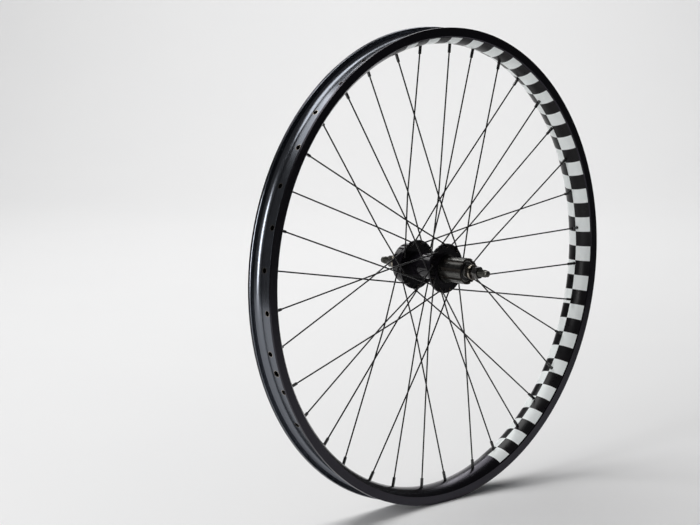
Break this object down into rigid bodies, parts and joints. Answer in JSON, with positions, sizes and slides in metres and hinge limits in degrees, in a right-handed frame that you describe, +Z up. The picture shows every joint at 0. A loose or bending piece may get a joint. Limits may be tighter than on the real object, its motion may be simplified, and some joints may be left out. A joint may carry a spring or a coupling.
{
  "type": "spoked bicycle wheel",
  "caption": "Rear bicycle wheel: black double-wall rim laced to a disc-brake hub with a splined freehub on a threaded axle.",
  "frame": {"origin": "centre of the wheel, on the axle and midway between the rim's flanges", "axes": "+Y along the axle towards the left side (the brake disc side), -Y towards the freehub, +Z up, +X forwards: rolling forwards is a positive turn about +Y"},
  "size_m": [0.6339, 0.191, 0.634],
  "materials": {
    "axle_steel": "dark oiled thread",
    "bearing_steel": "ground",
    "dull_steel": "dull",
    "nickel": "tarnished nickel plate",
    "dark_nut": "dark plated",
    "rim_black": "satin black anodised",
    "checker_vinyl": "gloss vinyl, black and white squares",
    "nipple_black": "black plated",
    "hub_black": "gloss black anodised",
    "dust_cap": "matte",
    "ball_steel": "polished",
    "driver_steel": "dark chrome",
    "seal_rubber": "matte",
    "spoke_black": "gloss black coating"
  },
  "bodies": {
    "fixed_axle": {"axle": "axle_steel", "left_cone": "bearing_steel", "right_cone": "bearing_steel", "cone_spacers": "dull_steel", "locknuts": "nickel", "axle_washers": "nickel", "axle_nuts": "dark_nut"},
    "wheel": {"rim": "rim_black", "checker_band": "checker_vinyl", "spoke_nipples": "nipple_black", "hub_shell": "hub_black", "left_bearing_cup": "bearing_steel", "left_dust_cap": "dust_cap", "right_dust_cap": "dust_cap", "left_bearing_balls": "ball_steel", "right_bearing_balls": "ball_steel", "freehub_core": "dull_steel", "freehub_bolt": "dull_steel", "freehub_balls": "ball_steel", "pawl_spring": "ball_steel", "spoke_01": "spoke_black", "spoke_02": "spoke_black", "spoke_03": "spoke_black", "spoke_04": "spoke_black", "spoke_05": "spoke_black", "spoke_06": "spoke_black", "spoke_07": "spoke_black", "spoke_08": "spoke_black", "spoke_09": "spoke_black", "spoke_10": "spoke_black", "spoke_11": "spoke_black", "spoke_12": "spoke_black", "spoke_13": "spoke_black", "spoke_14": "spoke_black", "spoke_15": "spoke_black", "spoke_16": "spoke_black", "spoke_17": "spoke_black", "spoke_18": "spoke_black", "spoke_19": "spoke_black", "spoke_20": "spoke_black", "spoke_21": "spoke_black", "spoke_22": "spoke_black", "spoke_23": "spoke_black", "spoke_24": "spoke_black", "spoke_25": "spoke_black", "spoke_26": "spoke_black", "spoke_27": "spoke_black", "spoke_28": "spoke_black", "spoke_29": "spoke_black", "spoke_30": "spoke_black", "spoke_31": "spoke_black", "spoke_32": "spoke_black", "spoke_33": "spoke_black", "spoke_34": "spoke_black", "spoke_35": "spoke_black", "spoke_36": "spoke_black"},
    "driver": {"freehub_driver": "driver_steel", "freehub_seal": "seal_rubber"},
    "upper_pawl": {"pawl_upper": "dull_steel"},
    "lower_pawl": {"pawl_lower": "dull_steel"}
  },
  "joints": [
    {"name": "wheel_spin", "type": "hinge", "parent": "fixed_axle", "child": "wheel", "pos_m": [0, 0, 0], "axis": [0, 1, 0], "continuous": true},
    {"name": "driver_spin", "type": "hinge", "parent": "wheel", "child": "driver", "pos_m": [0, -0.04, 0], "axis": [0, 1, 0], "continuous": true},
    {"name": "upper_pawl_tilt", "type": "hinge", "parent": "wheel", "child": "upper_pawl", "pos_m": [0.01, -0.038, 0], "axis": [0, -1, 0], "range_deg": [0, 12], "stiffness_Nm_per_rad": 0.05, "springref_deg": -5.73},
    {"name": "lower_pawl_tilt", "type": "hinge", "parent": "wheel", "child": "lower_pawl", "pos_m": [-0.01, -0.038, 0], "axis": [0, -1, 0], "range_deg": [0, 12], "stiffness_Nm_per_rad": 0.05, "springref_deg": -5.73}
  ]
}
